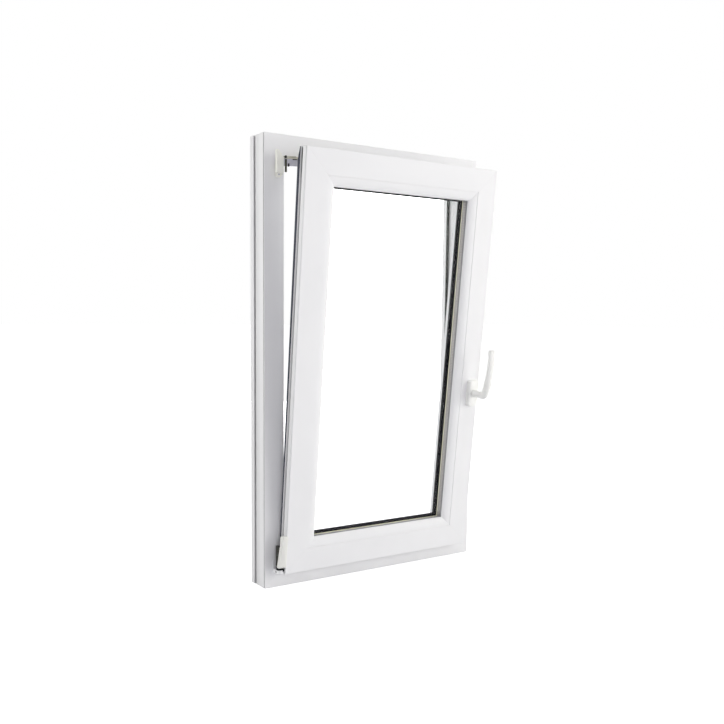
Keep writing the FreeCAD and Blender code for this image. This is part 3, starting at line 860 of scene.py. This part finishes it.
def make_pivot():
    """Pivot on the jamb's foot, with the sash's corner hinge and its cap."""
    wall = frame_room.front
    seat = rounded((hinge_x - 8, hinge_x + 7), (30, 64), 2.0)
    seat = plate(seat, [(0, wall + 0.2), (0, wall - 0.9), (0.5, wall - 1.4), (1.0, wall - 1.4)], facing_room)
    arm = rounded((hinge_x - 7, hinge_x + 7), (wall + 0.2, hinge_y - 7), [1.4, 1.4, 6.8, 6.8], steps=10)
    arm = plate(arm, [(1.2, 35.6), (0.5, 35.8), (0, 36.4), (0, 43.6), (0.5, 44.4), (1.2, 44.6)], lying)
    add_piece("pivot_bracket", [seat, arm], white_plastic, ["pivot_rest"])
    low, high, crown = pivot_height + 3.0, pivot_height + 75.0, pivot_height + 47.0
    # The black washer and the black block beside it also stand for the dark gaps under the hinge's cap, so
    # they are partly painted shadow.
    washer = [(6.6, 44.2), (7.6, 45.0), (7.6, 50.4), (6.6, 51.2)]
    washer = turned(washer, (hinge_x - 0.6, hinge_y + 1, 0), (0, 0, 1))
    clip = slab((hinge_x + 3.4, hinge_x + 7.2), (hinge_y - 7.2, hinge_y - 1), (41.5, 46.5), radius=1.2)
    add_piece("pivot_washer_and_gap_shadow", [washer, clip], black_rubber)
    # The upright's near-black steel also stands for the shade beside the cap's foot.
    upright = slab((hinge_x - 3.0, hinge_x + 4), (hinge_y + 5.5, wall - 3), (50.5, crown), radius=3.8)
    stop = screw((hinge_x - 6.9, hinge_y + 6, 39.5), (-1, 0, 0), 2.6)
    add_piece("pivot_upright", [upright, stop], olive_zinc_and_shade)

    ring_count, ring_pitch = 7, 6.0
    steps = np.arange(ring_count) * ring_pitch + low + 3.5
    ring = np.array([(6.6, -1.6), (5.2, -1.1), (5.2, 1.1), (6.6, 1.6)])
    rings = (ring[None] + np.stack([0 * steps, steps], axis=-1)[:, None]).reshape(-1, 2)
    foot, head = [(5.6, low + 0.4), (6.6, low + 1.0)], [(6.6, crown - 0.6), (5.6, crown)]
    # The barrel's near-black steel also stands for the shade in the gap beside the cap.
    barrel = turned(np.concatenate([foot, rings, head]), (hinge_x + 0.4, hinge_y + 1.2, 0), (0, 0, 1))
    web = slab((hinge_x, sash_room.left + 0.3), (hinge_y - 3, hinge_y + 3), (low + 1, crown))
    steel = [lean_grid(barrel), lean_grid(web)]
    add_piece("corner_hinge_steel", steel, olive_zinc_and_shade, ["corner_hinge"])

    left, right = sash_room.left - 14.0, sash_room.left
    foot_left, overlap = left - 6.0, right + 2.0
    back = hinge_y - 8.0
    face, front = sash_room.front, sash_room.front - 3.0
    cover = soften(
        [(foot_left, low), (overlap - 1.5, low), (overlap, high), (left + 4, high), (left + 1, high - 4)],
        [1.8, 1.8, 2.0, 2.0, 3.0])
    cover = plate(
        cover, [(0.3, face + 0.2), (0, face), (0.1, front + 1.6), (0.5, front + 0.6), (1.4, front)],
        facing_room)
    side = soften(
        [(foot_left + 0.2, low), (right - 0.2, low), (right - 0.2, high), (left + 4, high),
         (left + 1.2, high - 4)],
        [1.5, 0.6, 0.6, 2.0, 3.0])
    side = plate(side, [(0.4, back + 2), (0, back + 1.6), (0, face - 0.4)], facing_room)
    top = rounded((left + 2, right), (back - 1, hinge_y + 2), [2.2, 2.2, 2.2, 5.0])
    top = plate(
        top, [(0.4, crown), (0, crown + 0.4), (0, high - 4), (0.5, high - 2.8), (1.4, high - 2.2),
              (2.0, high - 2.2)], lying)
    cap = [lean_grid(g) for g in (cover, side, top)]
    add_piece("corner_hinge_cover", cap, ivory_plastic, ["corner_hinge_cap"])


def smooth_step(share):
    """0 to 1 along a share that is kept between 0 and 1, with no kink at either end."""
    share = np.clip(share, 0, 1)
    return share ** 2 * (3 - 2 * share)


def make_handle():
    """Rosette and lever.

    The rosette's rounded rectangle passes into its round collar. The lever's oval section leaves the
    neck, turns a tight elbow and follows a long shallow arc: its path is summed from short steps, each
    along the mean of its two headings. Shares run from 0 at the elbow to 1 at the tip.
    """
    outline = evenly(rounded((-15, 15), (-33, 33), 11.0, steps=24), 160)
    spin = np.arctan2(outline[:, 1], outline[:, 0])
    circle = np.stack([np.cos(spin), np.sin(spin)], axis=1)
    shell = [(0, 0), (0, 7.0), (0.25, 8.4), (0.9, 9.7), (2.0, 10.6), (3.4, 11.0)]
    collar = [(12.6, 11.0), (12.4, 12.0), (11.8, 12.4), (9.3, 12.4), (8.8, 12.0), (8.8, 3.0)]
    rows = [(outline + inset * inward(outline), lift) for inset, lift in shell]
    rows += [(radius * circle, lift) for radius, lift in collar]
    rows = [np.column_stack([flat, np.full(len(flat), lift)]) for flat, lift in rows]
    a, b, h = np.moveaxis(np.array(rows), -1, 0)
    shape = np.stack([handle_x + a, sash_room.front - h, handle_height + b], axis=-1)
    rosette = lean_grid(Grid(shape, False))
    add_piece("rosette_cover", [rosette], ivory_coat, ["handle_rosette"])

    elbow_turn, grip_turn = 73.0, 24.0
    thin_by, taper_from, tip_from = 0.62, 0.33, 0.94
    tip_share = 1 - tip_from
    neck = np.linspace(4.0, neck_reach, 8, endpoint=False)
    bend = np.radians(elbow_turn) * np.linspace(0, 1, 16)
    closing = np.sin(np.linspace(0.1, 1, 12) * np.pi / 2)
    share = np.concatenate([np.linspace(0, tip_from, 40), tip_from + tip_share * closing])
    turn = np.concatenate([bend, np.radians(elbow_turn + grip_turn * share[1:])])
    pace = np.concatenate([elbow_radius * np.diff(bend), grip_length * np.diff(share)])
    middle = 0.5 * (turn[1:] + turn[:-1])
    outward = np.concatenate([[0], np.cumsum(pace * np.cos(middle))])
    reach = np.concatenate([neck, neck_reach + outward])
    rise = np.concatenate([0 * neck, [0], np.cumsum(pace * np.sin(middle))])
    heading = np.concatenate([0 * neck, turn])
    along = np.concatenate([0 * neck, 0 * bend, share[1:]])
    settle = smooth_step(along / thin_by)
    taper = np.clip((along - taper_from) / (1 - taper_from), 0, 1)
    tip = np.clip(1 - (np.clip(along - tip_from, 0, 1) / tip_share) ** 3, 0.0004, 1) ** (1 / 3)
    knee = np.concatenate([0 * neck, np.sin(bend / bend[-1] * np.pi / 2), 1 + 0 * share[1:]])
    wide = (neck_radius + 0.6 * knee + 0.1 * settle - 0.7 * taper) * tip
    thick = (neck_radius + 0.9 * knee - 3.6 * settle - 0.6 * taper) * tip
    angle = np.linspace(0, 2 * np.pi, 56, endpoint=False)
    square = 1 - 0.22 * settle[:, None]
    side = np.sign(np.cos(angle)) * np.abs(np.cos(angle)) ** square
    lift = np.sign(np.sin(angle)) * np.abs(np.sin(angle)) ** square
    a = wide[:, None] * side
    n = thick[:, None] * lift
    out = reach[:, None] - n * np.sin(heading)[:, None]
    up = rise[:, None] + n * np.cos(heading)[:, None]
    shape = np.stack([handle_x + a, sash_room.front - out, handle_height + up], axis=-1)
    lever = lean_grid(Grid(shape, False))
    add_piece("lever", [lever], ivory_coat, ["handle_lever"], body="handle")


def make_drain_caps():
    """Covers over the drain slots on the outside of the sill: a low dome with a hooded edge."""
    back = frame_depth / 2
    from_middle, half_width = 190.0, 20.0
    layers = [(0, back - 0.5), (0, back + 1.6), (0.6, back + 2.8), (1.8, back + 3.6), (2.6, back + 3.8)]
    for x, name in ((-from_middle, "left"), (from_middle, "right")):
        outline = rounded((x - half_width, x + half_width), (14, 28), [3.0, 3.0, 5.0, 5.0])
        shell = plate(outline, layers, facing_room)
        add_piece("drain_cover_" + name, [shell], white_upvc, ["drain_cap_" + name])


make_frame()
make_sash()
make_glazing()
make_gear()
make_stay()
make_pivot()
make_handle()
make_drain_caps()


def seen_rays(tree):
    """1 for rays that come from the eye, straight, mirrored or through glass, and 0 for the others."""
    rays = tree.nodes.new("ShaderNodeLightPath")
    seen = rays.outputs["Is Camera Ray"]
    for kind in ("Is Glossy Ray", "Is Transmission Ray"):
        seen = combined(tree, "MAXIMUM", seen, rays.outputs[kind])
    return seen


def make_floor():
    """A wide pale floor: white to the eye, with a soft grey where the window shades it.

    Its glow rises with the distance from the window, where less of the lamps' light falls.
    """
    mesh = bpy.data.meshes.new("floor")
    reach = 40.0
    corners = [(-reach, -reach, 0), (reach, -reach, 0), (reach, reach, 0), (-reach, reach, 0)]
    mesh.from_pydata(corners, [], [(0, 1, 2, 3)])
    floor = put_in("floor", mesh)
    floor.location.z = -0.0005
    material = bpy.data.materials.new("pale_floor")
    material.use_nodes = True
    tree = material.node_tree
    tree.nodes.remove(tree.nodes["Principled BSDF"])
    chalk = tree.nodes.new("ShaderNodeBsdfDiffuse")
    chalk.inputs["Color"].default_value = (0.80, 0.80, 0.82, 1)
    glow = tree.nodes.new("ShaderNodeEmission")
    both = tree.nodes.new("ShaderNodeAddShader")
    place = tree.nodes.new("ShaderNodeTexCoord")
    distance = tree.nodes.new("ShaderNodeVectorMath")
    distance.operation = "LENGTH"
    tree.links.new(place.outputs["Object"], distance.inputs[0])
    pale = spread(tree, distance.outputs["Value"], 0.84, 1.0, (0.5, 3.5))
    tree.links.new(combined(tree, "MULTIPLY", seen_rays(tree), pale), glow.inputs["Strength"])
    tree.links.new(chalk.outputs["BSDF"], both.inputs[0])
    tree.links.new(glow.outputs["Emission"], both.inputs[1])
    tree.links.new(both.outputs["Shader"], tree.nodes["Material Output"].inputs["Surface"])
    mesh.materials.append(material)


def make_world():
    """A white surround to the eye, and a plain soft light on the window."""
    world = bpy.data.worlds.new("studio")
    bpy.context.scene.world = world
    world.use_nodes = True
    tree = world.node_tree
    light = tree.nodes["Background"]
    light.inputs["Color"].default_value = (0.935, 0.925, 1.0, 1)
    light.inputs["Strength"].default_value = 0.10
    white = tree.nodes.new("ShaderNodeBackground")
    white.inputs["Color"].default_value = (1, 1, 1, 1)
    mix = tree.nodes.new("ShaderNodeMixShader")
    tree.links.new(seen_rays(tree), mix.inputs["Fac"])
    tree.links.new(light.outputs["Background"], mix.inputs[1])
    tree.links.new(white.outputs["Background"], mix.inputs[2])
    tree.links.new(mix.outputs["Shader"], tree.nodes["World Output"].inputs["Surface"])


def add_lamp(name, place, power, size, colour=(1, 1, 1), mirrored=True):
    """A square soft lamp that faces the middle of the window. Shiny pieces show it only if mirrored."""
    middle_height = 0.5
    lamp = bpy.data.lights.new(name, "AREA")
    lamp.energy = power
    lamp.size = size
    lamp.color = colour
    holder = put_in(name, lamp)
    x, y, z = place
    dx, dy, dz = -x, -y, middle_height - z
    holder.visible_glossy = mirrored
    holder.location = place
    holder.rotation_euler = (math.pi / 2 + math.atan2(dz, math.hypot(dx, dy)), 0, math.atan2(-dx, dy))


def make_camera():
    """The photograph's viewpoint, from a fit to the window's edges."""
    camera = bpy.data.cameras.new("camera")
    camera.sensor_width = 36.0
    camera.lens = 44.889
    camera.shift_x = -0.0003
    camera.shift_y = 0.0724
    holder = put_in("camera", camera)
    holder.location = (-1.2497, -1.7754, 0.6162)
    holder.rotation_euler = [math.radians(a) for a in (83.667, -0.591, -34.728)]
    bpy.context.scene.camera = holder


make_floor()
make_world()
add_lamp("key_lamp", (2.6, -2.4, 0.3), 150, 3.6, (1.0, 0.99, 0.945), mirrored=False)
add_lamp("front_lamp", (-1.6, -3.6, 0.6), 41, 2.5, (0.93, 0.92, 1.0), mirrored=False)
add_lamp("left_lamp", (-3.6, 0.3, 1.3), 44, 2.0, (1.0, 0.995, 0.96))
add_lamp("top_lamp", (0.2, -0.9, 3.4), 39, 2.5)
add_lamp("outside_lamp", (-1.8, 3.0, 1.4), 26, 2.5)
add_lamp("back_lamp", (1.8, 3.6, 1.2), 70, 2.5, mirrored=False)
make_camera()
bpy.context.scene.view_settings.view_transform = "Standard"
